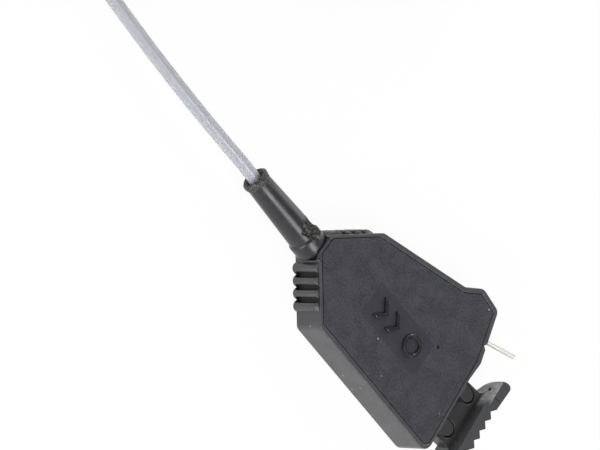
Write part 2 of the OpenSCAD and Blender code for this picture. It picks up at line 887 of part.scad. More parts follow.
module cord_coil() {
    color(cord_grey)
        tube(coil_line, cord_d / 2, 6, coil_in, coil_out);
}

module cord_tie() {
    spread = coil_step * all_turns / 4 + cord_d / 2 + tie_fit;
    low = coil_z - cord_d / 2 - tie_fit;
    high = coil_z + layer_rise + cord_d / 2 + tie_fit;
    color(gloss_black)
    translate([coil_at[0], coil_at[1], 0])
        rotate([0, 0, tie_at])
            translate([coil_r, tie_w / 2, 0])
                rotate([90, 0, 0])
                    linear_extrude(tie_w)
                        difference() {
                            translate([-spread - tie_t, low - tie_t])
                                square([2 * (spread + tie_t), high - low + 2 * tie_t]);
                            translate([-spread, low])
                                square([2 * spread, high - low]);
                        }
}

cord_stop = switch_boot_len + switch_wall + run_fit + flange_len + ferrule_len;
tail_line = concat([coil_last], [for (a = [10:10:tail_bend]) tail_point(a)],
    [on_switch([0, 0, split_z]), on_switch([cord_stop, 0, split_z])]);

module cord_tail() {
    color(cord_grey)
        tube(tail_line, cord_d / 2, 8, coil_out, concat(heading(switch_heading), 0));
}

// Hand switch: its housing starts where its boot ends

module in_switch() {
    at_switch()
        translate([switch_boot_len, 0, 0])
            children();
}

module switch_base() {
    color(shell_black)
    in_switch()
    difference() {
        union() {
            difference() {
                switch_slab(0, 0, split_z);
                switch_slab(switch_wall, switch_wall, split_z + past);
            }
            for (at = switch_screw_at)
                translate([at[0], at[1], 0])
                    cylinder(h = boss_top, r = boss_r);
        }
        translate([-past, 0, split_z - axis_z])
            rod(0, past + 2 * switch_wall, neck_r);
        for (at = switch_screw_at)
            screw_cut(at);
    }
}

module switch_cover() {
    color(shell_black)
    in_switch()
    difference() {
        union() {
            difference() {
                switch_slab(0, split_z, switch_h);
                switch_slab(switch_wall, split_z - past, roof_z);
            }
            for (at = switch_screw_at)
                translate([at[0], at[1], boss_top])
                    cylinder(h = roof_z - boss_top + switch_wall / 2, r = post_r);
        }
        translate([-past, 0, split_z - axis_z])
            rod(0, past + 2 * switch_wall, neck_r);
        for (at = switch_screw_at)
            translate([at[0], at[1], boss_top - past])
                cylinder(h = past + screw_grip, r = screw_d / 2);
        translate([button_x, 0, roof_z - past])
            cylinder(h = switch_wall + 2 * past, r = button_d / 2 + 2 * run_fit);
    }
}

module switch_screws() {
    color(steel)
    in_switch()
        for (at = switch_screw_at)
            screw_shape(at, screw_grip);
}

module switch_boot() {
    flange_from = switch_boot_len + switch_wall + run_fit;
    color(gloss_black)
    at_switch()
    translate([0, 0, split_z - axis_z])
    difference() {
        union() {
            translate([0, 0, axis_z])
                rotate([0, 90, 0])
                    cylinder(h = switch_boot_len, r1 = boot_end_d / 2, r2 = boot_collar_d / 2);
            rod(switch_boot_len / 2, flange_from + flange_len / 2, neck_r - run_fit);
            rod(flange_from, flange_from + flange_len, neck_r + 2 * ferrule_wall);
        }
        rod(-past, cord_stop, bore_r);
    }
}

module switch_ferrule() {
    color(tin)
    at_switch()
    translate([0, 0, split_z - axis_z])
    difference() {
        rod(cord_stop - ferrule_len, cord_stop, cord_d / 2 + ferrule_wall);
        rod(cord_stop - ferrule_len - past, cord_stop + past, cord_d / 2);
    }
}

module release_button() {
    color([0.75, 0.1, 0.08])
    in_switch()
    translate([button_x, 0, 0]) {
        translate([0, 0, flange_z])
            cylinder(h = flange_t, r = flange_r);
        translate([0, 0, flange_z])
            cylinder(h = switch_h + button_rise - flange_z, r = button_d / 2);
        translate([0, 0, bridge_z + bridge_t])
            cylinder(h = flange_z - bridge_z, r = stem_r);
    }
}

module contact_bridge() {
    color(brass)
    in_switch()
        translate([button_x, 0, bridge_z])
            cylinder(h = bridge_t, r = ring_in - move_gap);
}

button_spring_line = spring_points(button_spring_r, button_spring_wire,
    flange_z - block_base - seat_rim, button_spring_turns, spring_rings);

module button_spring() {
    color(steel)
    in_switch()
        translate([button_x, 0, block_base + seat_rim])
            tube(button_spring_line, button_spring_wire / 2, 6);
}

// Insulating cup that carries the fixed contacts and seats the spring on its rim
module contact_block() {
    color([0.85, 0.83, 0.76])
    in_switch()
    translate([button_x, 0, 0])
    difference() {
        translate([0, 0, switch_wall])
            cylinder(h = block_base + seat_rim - switch_wall, r = ring_out);
        translate([0, 0, block_base])
            cylinder(h = seat_rim + past, r = ring_in);
        for (side = [-1, 1])
            translate([-ring_out - past, side * strip_off - strip_w / 2 - run_fit, block_base])
                cube([ring_out, strip_w + 2 * run_fit, strip_t + run_fit]);
    }
}

module fixed_contact(side) {
    color(brass)
    in_switch()
        translate([button_x - ring_out - strip_tail, side * strip_off - strip_w / 2, block_base])
            cube([ring_out + strip_tail + strip_w / 2, strip_w, strip_t]);
}

module fixed_contact_left() {
    fixed_contact(1);
}

module fixed_contact_right() {
    fixed_contact(-1);
}

module switch_wire(route, side) {
    start = on_switch([cord_stop, side * wire_d * 0.6, split_z]);
    end = on_switch([switch_boot_len + button_x - ring_out - strip_tail, side * strip_off,
        strip_top - wire_d / 2]);
    ahead = concat(heading(switch_heading), 0);
    tube(concat([start], [for (p = route) on_switch(p + [switch_boot_len, 0, 0])],
        [end - wire_d * ahead, end]), wire_d / 2, 6, ahead, ahead);
}

module switch_wire_red() {
    color("firebrick")
        switch_wire(switch_red_route, 1);
}

module switch_wire_white() {
    color("ivory")
        switch_wire(switch_white_route, -1);
}

echo(least_coil_gap = least_gap(coil_line, cord_d, rings_per_turn / 2));
echo(latch_spring_gap = least_gap(latch_spring_line, spring_wire, spring_rings * 0.75));
echo(button_spring_gap = least_gap(button_spring_line, button_spring_wire, spring_rings * 0.75));
echo(cord_length = run_length(lead_line) + run_length(coil_line) + run_length(tail_line));

plug_base();
plug_cover();
plug_screws();
cord_boot();
cord_ferrule();
pin_block();
contact_pin_front();
contact_pin_rear();
plug_wire_red();
plug_wire_white();
latch_lever();
latch_pivot();
latch_spring();
cord_lead();
cord_coil();
cord_tie();
cord_tail();
switch_base();
switch_cover();
switch_screws();
switch_boot();
switch_ferrule();
release_button();
contact_bridge();
button_spring();
contact_block();
fixed_contact_left();
fixed_contact_right();
switch_wire_red();
switch_wire_white();
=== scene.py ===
from math import atan2, ceil, cos, pi, radians, sin, tan

import bmesh
import bpy
from mathutils import Matrix, Vector, noise


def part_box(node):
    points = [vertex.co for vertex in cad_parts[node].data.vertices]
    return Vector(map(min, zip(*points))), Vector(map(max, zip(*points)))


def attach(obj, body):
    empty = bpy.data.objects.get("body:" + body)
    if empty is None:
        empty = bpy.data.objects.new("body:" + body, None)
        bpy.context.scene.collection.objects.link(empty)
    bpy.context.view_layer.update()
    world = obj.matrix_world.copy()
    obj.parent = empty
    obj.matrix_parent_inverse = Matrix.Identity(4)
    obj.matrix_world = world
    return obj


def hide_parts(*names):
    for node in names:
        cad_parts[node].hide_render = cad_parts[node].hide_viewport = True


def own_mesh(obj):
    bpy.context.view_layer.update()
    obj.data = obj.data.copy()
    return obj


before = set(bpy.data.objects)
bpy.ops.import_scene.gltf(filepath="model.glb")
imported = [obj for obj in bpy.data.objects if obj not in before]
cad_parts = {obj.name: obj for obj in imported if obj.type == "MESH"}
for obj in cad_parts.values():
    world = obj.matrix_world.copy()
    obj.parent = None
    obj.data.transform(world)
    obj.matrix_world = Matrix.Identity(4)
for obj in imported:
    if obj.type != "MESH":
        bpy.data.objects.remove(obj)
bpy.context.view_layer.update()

# The view and the stage: a long lens far off to the plug's left, over a white table.
# The table is lit like the plug, and is a little brighter where the lens sees it.

image_width, image_height, sensor_width = 600, 450, 36
lens_turn, lens_tilt, lens_away = radians(23.5), radians(38), 1.2
pixels_per_mm = 5.2
front_point = Vector((0, 0, 0.0076))
front_pixel = (406.555, 346.736)
along = Vector((cos(lens_turn), sin(lens_turn), 0))
lens_up = Vector((-sin(lens_turn), cos(lens_turn), 0))
lens_back = Vector((0, 0, cos(lens_tilt))) - sin(lens_tilt) * along
lens_right = lens_up.cross(lens_back)
eye = (front_point + lens_back * lens_away
       - lens_right * (front_pixel[0] - image_width / 2) / pixels_per_mm / 1000
       + lens_up * (front_pixel[1] - image_height / 2) / pixels_per_mm / 1000)
camera = bpy.data.objects.new("camera", bpy.data.cameras.new("camera"))
bpy.context.scene.collection.objects.link(camera)
camera.matrix_world = Matrix((lens_right, lens_up, lens_back)).transposed().to_4x4()
camera.location = eye
camera.data.sensor_width = sensor_width
camera.data.lens = sensor_width * pixels_per_mm * lens_away * 1000 / image_width
camera.data.clip_end = 10
bpy.context.scene.camera = camera
bpy.context.scene.view_settings.view_transform = "Standard"


class Reading:
    """One output of a finish's nodes; sums on it add Math nodes."""

    def __init__(self, finish, socket):
        self.finish, self.socket = finish, socket

    def sum_with(self, operation, first, second):
        return self.finish.node("Math", {0: first, 1: second}, operation=operation)

    def __add__(self, other):
        return self.sum_with("ADD", self, other)

    def __sub__(self, other):
        return self.sum_with("SUBTRACT", self, other)

    def __rsub__(self, other):
        return self.sum_with("SUBTRACT", other, self)

    def __mul__(self, other):
        return self.sum_with("MULTIPLY", self, other)

    def __gt__(self, other):
        return self.sum_with("GREATER_THAN", self, other)

    def __lt__(self, other):
        return self.sum_with("LESS_THAN", self, other)

    __radd__, __rmul__ = __add__, __mul__


class Finish:
    """A material with one Principled shader, and the way to add nodes to it."""

    def __init__(self, name, **constants):
        self.material = bpy.data.materials.new(name)
        self.take(self.material, "Principled BSDF")
        self.set(**constants)

    def take(self, owner, shader):
        owner.use_nodes = True
        self.tree = owner.node_tree
        self.shader = self.tree.nodes[shader]

    def feed(self, socket, value):
        if isinstance(value, Reading):
            self.tree.links.new(value.socket, socket)
        else:
            socket.default_value = value

    def set(self, **inputs):
        for name, value in inputs.items():
            self.feed(self.shader.inputs[name.replace("_", " ")], value)

    def node(self, kind, inputs=None, output=0, **settings):
        made = self.tree.nodes.new("ShaderNode" + kind)
        for name, value in settings.items():
            setattr(made, name, value)
        for name, value in (inputs or {}).items():
            self.feed(made.inputs[name], value)
        return Reading(self, made.outputs[output])

    def place(self, stretch=(1, 1, 1)):
        where = self.node("TexCoord", output="Object")
        return self.node("Mapping", {"Vector": where, "Scale": [1000 * s for s in stretch]})

    def one_way(self, vector, way):
        return self.node("SeparateXYZ", {"Vector": vector}, output=way)

    def reach(self, way):
        """How far a point lies along a direction, in millimetres."""
        return self.node("VectorMath", {0: self.place(), 1: way}, output="Value", operation="DOT_PRODUCT")

    def marked(self, name):
        """A share that the mesh keeps at each of its points."""
        return self.node("Attribute", output="Fac", attribute_name=name)

    def noise(self, per_mm, detail=2.0, stretch=(1, 1, 1), roughness=0.5):
        return self.node("TexNoise", {"Vector": self.place(stretch), "Scale": per_mm,
                                      "Detail": detail, "Roughness": roughness})

    def between(self, factor, low, high, start=0.3, end=0.7):
        return self.node("MapRange", {"Value": factor, "From Min": start, "From Max": end,
                                      "To Min": low, "To Max": high})

    def blend(self, factor, first, second):
        return self.node("Mix", {0: factor, 6: first, 7: second}, output=2, data_type="RGBA")

    def bump(self, height, strength, depth_mm):
        return self.node("Bump", {"Height": height, "Strength": strength, "Distance": depth_mm / 1000})

    def straight(self, seen, mirrored):
        """Share of plain white for rays from the lens, off a mirror or through glass."""
        return (seen * self.node("LightPath", output="Is Camera Ray")
                + mirrored * self.node("LightPath", output="Is Glossy Ray")
                + mirrored * self.node("LightPath", output="Is Transmission Ray"))


class Sky(Finish):
    """The world's nodes, added to in the same way."""

    def __init__(self, name, **constants):
        self.world = bpy.data.worlds.new(name)
        self.take(self.world, "Background")
        self.set(**constants)


table_half, table_sink = 1.5, 0.00002
seen_white, mirrored_white = 0.95, 0.85
table = Finish("white_table", Base_Color=(0.92, 0.92, 0.92, 1), Roughness=0.7)
glow = table.node("Emission", {"Color": (1, 1, 1, 1), "Strength": 1.0})
lit = Reading(table, table.shader.outputs[0])
shown = table.node("MixShader", {0: table.straight(seen_white, mirrored_white), 1: lit, 2: glow})
table.tree.links.new(shown.socket, table.tree.nodes["Material Output"].inputs["Surface"])
bm = bmesh.new()
bmesh.ops.create_grid(bm, x_segments=2, y_segments=2, size=table_half)
bmesh.ops.translate(bm, verts=bm.verts, vec=(0, 0, -table_sink))
floor_mesh = bpy.data.meshes.new("table")
bm.to_mesh(floor_mesh)
bm.free()
floor_mesh.materials.append(table.material)
floor = bpy.data.objects.new("table", floor_mesh)
bpy.context.scene.collection.objects.link(floor)

horizon_light, zenith_light, mirrored_sky = 0.85, 0.22, 0.15
sky_low, sky_high = 0.3, 0.75
sky = Sky("studio", Color=(0.95, 0.97, 1, 1))
height = sky.one_way(sky.node("TexCoord", output="Generated"), "Z")
dome = sky.between(height, horizon_light, zenith_light, sky_low, sky_high)
sky.set(Strength=dome + (1 - dome) * sky.straight(1, mirrored_sky))
bpy.context.scene.world = sky.world


def softbox(name, place, size, power):
    lamp = bpy.data.lights.new(name, "AREA")
    lamp.shape, lamp.size, lamp.energy = "SQUARE", size, power
    holder = bpy.data.objects.new(name, lamp)
    bpy.context.scene.collection.objects.link(holder)
    holder.location = place
    holder.rotation_euler = (-Vector(place)).to_track_quat("-Z", "Y").to_euler()


softbox("key_softbox", place=(0.31, -0.447, 0.839), size=0.42, power=5.4)
softbox("side_softbox", place=(-0.6, -0.75, 0.3), size=0.5, power=4.8)
softbox("far_softbox", place=(0.35, 0.9, 0.35), size=0.8, power=5)

# The plug's base shell is a tub of satin black plastic, moulded in one piece with its rim, the grip
# ridges, the cord's entry and the lugs over the latch. Its edges have a small mould radius with a painted
# highlight along them; painted shade darkens the slots between the ridges, and the lugs are painted
# near-black.

smooth_limit, flat_limit, edge_limit = radians(35), radians(0.6), radians(28)
weld = 2e-6


def shown_piece(name, bm, body, finish, slot, *nodes):
    mesh = bpy.data.meshes.new(name)
    bm.to_mesh(mesh)
    bm.free()
    mesh.shade_smooth()
    mesh.set_sharp_from_angle(angle=smooth_limit)
    mesh.materials.append(finish.material)
    piece = bpy.data.objects.new(name, mesh)
    bpy.context.scene.collection.objects.link(piece)
    even = piece.modifiers.new("even_shading", "WEIGHTED_NORMAL")
    even.keep_sharp = True
    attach(piece, body)
    if nodes:
        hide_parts(*nodes)
    return piece


def merged(node):
    bm = bmesh.new()
    bm.from_mesh(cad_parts[node].data)
    bmesh.ops.remove_doubles(bm, verts=bm.verts, dist=weld)
    return bm


def moulded(node, edge_mm):
    bm = merged(node)
    bmesh.ops.dissolve_limit(bm, angle_limit=flat_limit, verts=bm.verts, edges=bm.edges)
    sharp = [e for e in bm.edges if e.is_manifold and e.calc_face_angle_signed() > edge_limit]
    bmesh.ops.bevel(bm, geom=sharp, offset=edge_mm / 1000, segments=2, profile=0.5,
                    affect="EDGES", material=-1)
    return bm


def shades(colour, spread):
    return [[min(c * (1 + way * spread), 1) for c in colour] + [1] for way in (-1, 1)]


cloud_per_mm, rough_spread = 0.35, 0.06
edge_from, edge_full, edge_highlight_grey = 0.51, 0.6, (0.2, 0.2, 0.21, 1)
fleck_per_mm, fleck_r, dust_grey = 0.25, 0.04, (0.55, 0.55, 0.56, 1)


def plastic(name, colour, roughness, grain_mm, grain_depth, spread=0.15, dust=0.0, edge_highlight=0.0, cloudy=0.5):
    finish = Finish(name)
    cloud = finish.noise(cloud_per_mm, detail=3)
    grain = finish.noise(1 / grain_mm, detail=3, roughness=0.6)
    tone = finish.between(cloud * cloudy + grain * (1 - cloudy), 0, 1)
    paint = finish.blend(tone, *shades(colour, spread))
    if edge_highlight:
        # Painted highlight: sharp edges, where the pointiness is high, are painted a lighter grey, as light
        # catching the bevels.
        bend = finish.node("NewGeometry", output="Pointiness")
        edge = finish.between(bend, 0, edge_highlight, edge_from, edge_full)
        paint = finish.blend(edge * finish.between(cloud, 0.4, 1), paint, edge_highlight_grey)
    if dust:
        fleck = finish.node("TexVoronoi", {"Vector": finish.place(), "Scale": fleck_per_mm})
        paint = finish.blend(dust - dust * (fleck > fleck_r), paint, dust_grey)
    finish.paint, finish.grain = paint, grain
    finish.rough = finish.between(grain, roughness - rough_spread, roughness + rough_spread)
    finish.set(Base_Color=paint, Roughness=finish.rough, Normal=finish.bump(grain, 0.4, grain_depth))
    return finish


shell_finish = plastic("satin_shell", (0.042, 0.042, 0.044), roughness=0.36, grain_mm=0.14,
                       grain_depth=0.01, dust=0.5, edge_highlight=0.3)
lug_way, lug_from, lug_end, lug_dark = (0.97, -0.242, 0), 16.6, 4, 0.85
grips = ((radians(115), 22, 1), (radians(205), 20.8, -1))
grip_low, grip_high, grip_top = 8.5, 15.7, 7.35
slot_floor, slot_black, slot_unshaded = -0.6, 0.1, 0.55
painted_dark_black, painted_dark_rough = (0.004, 0.004, 0.003, 1), 0.3
# Painted shade: the slot floors between the grip ridges are painted near-black and rougher, darkest deepest
# in. The lugs over the latch are painted the same near-black.
outward = shell_finish.reach(lug_way)
across, level = (shell_finish.one_way(shell_finish.place(), way) for way in "YZ")
painted_dark = lug_dark * ((outward > lug_from) * (across < lug_end))
for grip_way, grip_d, side in grips:
    proud = shell_finish.reach((cos(grip_way), sin(grip_way), 0))
    along_grip = shell_finish.reach((-side * sin(grip_way), side * cos(grip_way), 0))
    in_slots = shell_finish.between(proud - grip_d, 1, 0, slot_black, slot_unshaded) * (level < grip_top)
    painted_dark = painted_dark + (in_slots * (proud > grip_d + slot_floor)
                     * (along_grip > grip_low) * (along_grip < grip_high))
shell_finish.set(Base_Color=shell_finish.blend(painted_dark, shell_finish.paint, painted_dark_black),
                 Roughness=shell_finish.rough + painted_dark_rough * painted_dark)
shown_piece("plug_shell", moulded("plug_base", edge_mm=0.16), "release", shell_finish, "shell", "plug_base")

# The contacts: two slim plated pins with round noses, pushed through an insulating block behind the
# contact face. Each has a square root, a stop and a tail that takes its conductor.

axis_turn, plug_t = radians(20), 7.6
axis_z = plug_t / 2
pin_d, pin_y, pin_pitch, pin_lean = 1.1, 9.8, 2.5, radians(17)
contact_face, pin_end, nose_soft = 18.5, 27.7, 0.25
pin_bars = ((11.1, 18.5, 1.4), (10.1, 11.1, 1.9), (7.9, 10.1, 0.8))
to_metres = Matrix.Scale(0.001, 4)
brush_per_mm, tarnish_per_mm, brush_rough = 6, 0.6, 0.1


def spun(profile, steps, ring=False):
    bm = bmesh.new()
    line = [bm.verts.new((x, 0, r)) for x, r in profile]
    runs = [bm.edges.new(ends) for ends in zip(line, line[1:] + (line[:1] if ring else []))]
    bmesh.ops.spin(bm, geom=line + runs, cent=(0, 0, 0), axis=(1, 0, 0), angle=2 * pi,
                   steps=steps, use_merge=True)
    bmesh.ops.remove_doubles(bm, verts=bm.verts, dist=1e-4)
    bmesh.ops.recalc_face_normals(bm, faces=bm.faces)
    return bm


def metal(name, colour, roughness, stretch=(1, 1, 1), spread=0.08):
    finish = Finish(name, Metallic=1.0)
    lines = finish.noise(brush_per_mm, detail=3, stretch=stretch)
    tarnish = finish.noise(tarnish_per_mm)
    tone = finish.between(lines * 0.5 + tarnish * 0.5, 0, 1)
    finish.set(Base_Color=finish.blend(tone, *shades(colour, spread)),
               Roughness=finish.between(lines, roughness - rough_spread, roughness + brush_rough),
               Normal=finish.bump(lines, 0.15, 0.01))
    return finish


def dressed(finish, *nodes):
    for node in nodes:
        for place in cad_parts[node].material_slots:
            place.material = finish.material


pin_finish = metal("plated_pin", (0.68, 0.69, 0.61), roughness=0.6, stretch=(0.05, 0.25, 0.25), spread=0.03)
nose = [(pin_end - nose_soft * (1 - sin(a)), pin_d / 2 - nose_soft * (1 - cos(a)))
        for a in (radians(15 * i) for i in range(7))]
for name, row in (("contact_pin_front", 1), ("contact_pin_rear", -1)):
    bm = spun([(contact_face, 0), (contact_face, pin_d / 2)] + nose + [(pin_end, 0)], steps=32)
    for start, end, width in pin_bars:
        cube = bmesh.ops.create_cube(bm, size=1)["verts"]
        bmesh.ops.scale(bm, verts=cube, vec=(end - start, width, width))
        bmesh.ops.translate(bm, verts=cube, vec=((start + end) / 2, 0, 0))
    lean = Matrix.Rotation(pin_lean, 4, "X") @ Matrix.Translation((0, 0, row * pin_pitch / 2))
    bmesh.ops.transform(bm, verts=bm.verts,
                        matrix=to_metres @ Matrix.Translation((0, pin_y, axis_z)) @ lean)
    shown_piece("plated_" + name, bm, "release", pin_finish, "pin", name)

insulator_finish = plastic("natural_insulator", (0.7, 0.67, 0.58), roughness=0.5, grain_mm=0.3,
                           grain_depth=0.01, spread=0.05)
dressed(insulator_finish, "pin_block", "contact_block")
red_finish = plastic("red_insulation", (0.45, 0.03, 0.03), roughness=0.35, grain_mm=0.3, grain_depth=0.005)
dressed(red_finish, "plug_wire_red", "switch_wire_red")
white_finish = plastic("white_insulation", (0.8, 0.78, 0.7), roughness=0.35, grain_mm=0.3,
                       grain_depth=0.005, spread=0.04)
dressed(white_finish, "plug_wire_white", "switch_wire_white")

# The latch lever is a black moulding of hub, arm, hook nose and ridged thumb bar. It turns on a
# steel pin in the base, and a small wire spring behind it keeps its nose in the camera's catch.

steel_finish = metal("bright_steel", (0.6, 0.6, 0.62), roughness=0.28)
dressed(steel_finish, "latch_pivot")
latch_lean, latch_swing, seat_slip = radians(14), radians(8), 0.0003


def squeezed(spring, way, travel):
    low, high = (Vector(corner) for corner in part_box(spring))
    piece = shown_piece("squeezed_" + spring, merged(spring), "release", steel_finish, "steel", spring)
    1 - travel / (high - low).dot(way)
    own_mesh(piece)


pivot_x = sum(corner[0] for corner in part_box("latch_pivot")) / 2
spring_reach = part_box("latch_spring")[1][0] - pivot_x
squeezed("latch_spring", Vector((0, 1, 0)),
         spring_reach * (tan(latch_lean + latch_swing) - tan(latch_lean)) + seat_slip)

lever_finish = Finish("satin_lever")
lever_black, lever_grey = (0.03, 0.03, 0.031, 1), (0.046, 0.046, 0.05, 1)
painted_light_grey = (0.42, 0.42, 0.41, 1)
grain_from, grain_full = 5.4, 6.6
hook_at, hook_full, hook_fade, light_least = (23.7, 1, 5.5), 2.6, 4.6, 0.12
grain = lever_finish.noise(4, detail=3, roughness=0.6)
grained = lever_finish.between(lever_finish.one_way(lever_finish.place(), "Z"), 0, 1, grain_from, grain_full)
away = lever_finish.node("VectorMath", {0: lever_finish.place(), 1: hook_at}, output="Value",
                         operation="DISTANCE")
# Painted light: the hook's inner faces, those turned back towards the plug, are painted light grey near the
# nose and fade away from it, as if lit from that side.
hook_light = (lever_finish.marked("lit_inner_side")
          * lever_finish.between(away, 1, light_least, hook_full, hook_fade)
          * lever_finish.between(lever_finish.noise(1.2, detail=4), 0.5, 1))
paint = lever_finish.blend(grained * lever_finish.between(grain, 0.5, 1), lever_black, lever_grey)
lever_finish.set(Base_Color=lever_finish.blend(hook_light, paint, painted_light_grey),
                 Roughness=lever_finish.between(grained, 0.3, 0.45, 0, 1),
                 Normal=lever_finish.bump(grain, 0.4, 0.02))
lever = moulded("latch_lever", edge_mm=0.12)
inward, facing, least_area = -Vector(lug_way), 0.5, 5e-7
# Marks the large faces turned towards the plug, which take the hook's painted light.
lit_inner_side = lever.verts.layers.float.new("lit_inner_side")
for face in lever.faces:
    if face.normal.dot(inward) > facing and face.calc_area() > least_area:
        for vert in face.verts:
            vert[lit_inner_side] = 1
shown_piece("thumb_latch", lever, "latch", lever_finish, "lever", "latch_lever")

# The cord: a light grey flexible jacket over two conductors. It leaves the boot, sinks to the
# table, is wound into a two-layer coil and bends round into the switch.

cord_d, coil_z, boot_reach, end_tuck = 2.7, 1.8, 46.7, 2
coil_step, layer_rise, coil_r, all_turns, climb_turns = 3.2, 3.3, 14, 5.6, 0.5
smooth_per_turn, solid_per_turn = 48, 24
switch_mid_z = 6.5
lead_route = [(0, 0, 0), (4, 0.1, 0), (9, 0.1, 0.05), (15, 0.15, 0.15), (21, 0.4, 0.3),
              (27, 0.7, 0.45), (33, 1.1, 0.6), (39, 1.6, 0.75), (45, 2.1, 0.87),
              (50, 2.6, 0.95), (55, 3.1, 1)]
coil_entry, coil_entry_turn = (59, 3.6), radians(7)
tail_bend_r, tail_bend, tail_straight = 12, 80, 4


def on_plug(x, y, z):
    return Vector((x * cos(axis_turn) + y * sin(axis_turn),
                   -x * sin(axis_turn) + y * cos(axis_turn), z))


def heading(angle):
    return Vector((cos(angle), sin(angle), 0))


cord_line = [on_plug(end_tuck - boot_reach, 0, axis_z)]
cord_line += [on_plug(-boot_reach - d, offset, axis_z + (coil_z - axis_z) * share)
              for d, offset, share in lead_route]
lead_end = on_plug(-boot_reach - coil_entry[0], coil_entry[1], coil_z)
lead_heading = pi - axis_turn - coil_entry_turn
coil_wide = coil_r + coil_step * all_turns / 4
coil_at = lead_end + coil_wide * heading(lead_heading - pi / 2)


def on_coil(turn):
    share = min(max((turn - all_turns / 2) / climb_turns + 0.5, 0), 1)
    reach = coil_wide - coil_step * (all_turns / 2 - abs(turn - all_turns / 2))
    rise = layer_rise * share * share * (3 - 2 * share)
    return coil_at + reach * heading(lead_heading + pi / 2 - 2 * pi * turn) + Vector((0, 0, rise))


smooth_rings, solid_rings = ceil(smooth_per_turn * all_turns), ceil(solid_per_turn * all_turns)
cord_line += [on_coil(all_turns * i / smooth_rings) for i in range(smooth_rings + 1)]
coil_out = (on_coil(all_turns) - on_coil(all_turns * (1 - 1 / solid_rings))).normalized()
coil_last = on_coil(all_turns) + cord_d * coil_out
exit_angle = atan2(coil_out.y, coil_out.x)
switch_angle = exit_angle + radians(tail_bend)
ahead, aside = heading(exit_angle), heading(exit_angle + pi / 2)
for bend in range(0, tail_bend + 1, 10):
    a = radians(bend)
    point = coil_last + tail_bend_r * (sin(a) * ahead + (1 - cos(a)) * aside)
    point.z += (switch_mid_z - coil_last.z) * bend / tail_bend
    cord_line.append(point)
switch_at = cord_line[-1] + tail_straight * heading(switch_angle)
cord_line += [switch_at.copy(), switch_at + end_tuck * heading(switch_angle)]

cord_finish = Finish("grey_jacket", Roughness=0.3, Subsurface_Weight=1, Subsurface_Radius=(1, 1, 1),
                     Subsurface_Scale=0.003)
mottle = cord_finish.noise(0.5, detail=3)
cord_finish.set(Base_Color=cord_finish.blend(mottle, (0.365, 0.37, 0.395, 1), (0.42, 0.425, 0.45, 1)),
                Normal=cord_finish.bump(cord_finish.noise(4), 0.2, 0.01))
curve = bpy.data.curves.new("cord", "CURVE")
curve.dimensions, curve.bevel_depth, curve.bevel_resolution = "3D", cord_d / 2000, 6
curve.use_fill_caps = True
spline = curve.splines.new("POLY")
spline.points.add(len(cord_line) - 1)
for point, place in zip(spline.points, cord_line):
    point.co = (*(place / 1000), 1)
spline.use_smooth = True
curve.materials.append(cord_finish.material)
cord = bpy.data.objects.new("cord", curve)
bpy.context.scene.collection.objects.link(cord)
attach(cord, "release")
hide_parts("cord_lead", "cord_coil", "cord_tail")

# The tie that keeps the coil together is a soft black strap, wrapped round the turns with its end
# pressed onto itself. It goes with the cord, whose run is summed after it.

tie_at, tie_t, tie_w, tie_fit, tie_corner = radians(150), 0.4, 4, 0.05, 1.3
tie_spread = coil_step * all_turns / 4 + cord_d / 2 + tie_fit + tie_t
tie_low, tie_high = 0, coil_z + layer_rise + cord_d / 2 + tie_fit + tie_t
tab_reach, tab_lift = 3.5, 0.02
bm = bmesh.new()
corners = [bm.verts.new((coil_r + x * tie_spread, -tie_w / 2, z))
           for x, z in ((-1, tie_low), (1, tie_low), (1, tie_high), (-1, tie_high))]
for ends in zip(corners, corners[1:] + corners[:1]):
    bm.edges.new(ends)
bmesh.ops.bevel(bm, geom=corners, offset=tie_corner, segments=6, profile=0.5,
                affect="VERTICES", material=-1)
tab = [bm.verts.new((coil_r + x, -tie_w / 2, tie_high + tab_lift)) for x in (-tab_reach, tab_reach)]
bm.edges.new(tab)
band = bmesh.ops.extrude_edge_only(bm, edges=bm.edges[:])["geom"]
bmesh.ops.translate(bm, verts=[v for v in band if isinstance(v, bmesh.types.BMVert)],
                    vec=(0, tie_w, 0))
bmesh.ops.recalc_face_normals(bm, faces=bm.faces)
bmesh.ops.solidify(bm, geom=bm.faces[:], thickness=tie_t)
bmesh.ops.transform(bm, verts=bm.verts, matrix=to_metres @ Matrix.Translation(coil_at.xy.to_3d())
                    @ Matrix.Rotation(tie_at, 4, "Z"))
tie_finish = plastic("woven_strap", (0.03, 0.03, 0.03), roughness=0.75, grain_mm=0.25, grain_depth=0.06,
                     spread=0.3)
strap = shown_piece("cord_strap", bm, "release", tie_finish, "tie", "cord_tie")
cord_run = sum((b - a).length for a, b in zip(cord_line, cord_line[1:])) / 1000

# The boot is a smooth soft black sleeve, moulded over the cord: a thick ragged lip round its mouth, a
# long taper, and a collar that sits in the nose's sunk ring. Its flex slot before the collar is torn.

boot_finish = Finish("glossy_boot")
torn = boot_finish.marked("torn")
haze, crumbs = boot_finish.noise(0.4, detail=3), boot_finish.noise(2.2, detail=4, roughness=0.7)
paint = boot_finish.blend(haze, (0.016, 0.016, 0.018, 1), (0.025, 0.025, 0.028, 1))
crumb = boot_finish.blend(boot_finish.between(crumbs, 0, 1, 0.45, 0.7), (0.014, 0.014, 0.012, 1),
                          (0.17, 0.17, 0.145, 1))
boot_finish.set(Base_Color=boot_finish.blend(torn, paint, crumb),
                Roughness=boot_finish.between(haze, 0.28, 0.35) + 0.25 * torn,
                Normal=boot_finish.bump(haze, 0.15, 0.01))
boot_len, collar_at, collar_r = 19.2, 15.7, 3.4
taper_from, taper_r, taper_gain = 1.25, 2.5, 0.55
fine_from, fine_r, fine_gain, fine_step = 12.2, 2.92, 0.13, 0.16
bore_from, bore_r, neck_r = 3, 1.4, 2.25
flange_from, flange_end, boot_flange_r = 22.95, 24.45, 2.45
